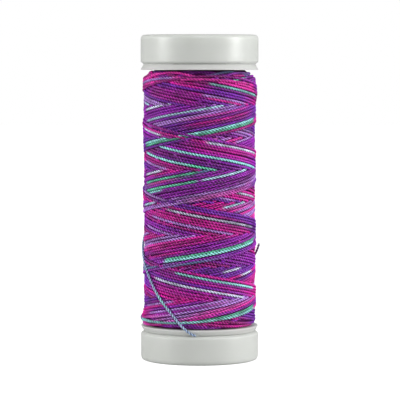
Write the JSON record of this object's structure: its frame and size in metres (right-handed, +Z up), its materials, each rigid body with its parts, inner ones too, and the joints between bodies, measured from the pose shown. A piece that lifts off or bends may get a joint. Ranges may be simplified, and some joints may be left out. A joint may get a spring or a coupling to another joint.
{
  "type": "spool of cotton thread",
  "caption": "Small spool of space-dyed cotton thread, cross wound on a flanged plastic core with snap caps and a pin hole, its loose end tucked in the lower groove.",
  "frame": {"origin": "centre of the lower cap's end face, where the spool stands", "axes": "+Z up along the spool's axis, -Y towards the side where the loose thread enters the lower groove, +X to the right of it"},
  "size_m": [0.02, 0.0198, 0.0542],
  "materials": {
    "spool_plastic": "satin, slightly translucent white moulding",
    "thread": "two-ply cotton with a soft sheen, dyed magenta, purple, lilac and sea green along its length"
  },
  "bodies": {
    "bottom_cap": {"end_cap_bottom": "spool_plastic"},
    "spool": {"barrel": "spool_plastic", "winding": "thread", "thread_tail": "thread", "thread_end": "thread"},
    "top_cap": {"end_cap_top": "spool_plastic"}
  },
  "joints": [
    {"name": "bottom_cap_pull", "type": "slide", "parent": "bottom_cap", "child": "spool", "axis": [0, 0, 1], "range_m": [0, 0.0016]},
    {"name": "top_cap_pull", "type": "slide", "parent": "spool", "child": "top_cap", "axis": [0, 0, 1], "range_m": [0, 0.0016]}
  ]
}
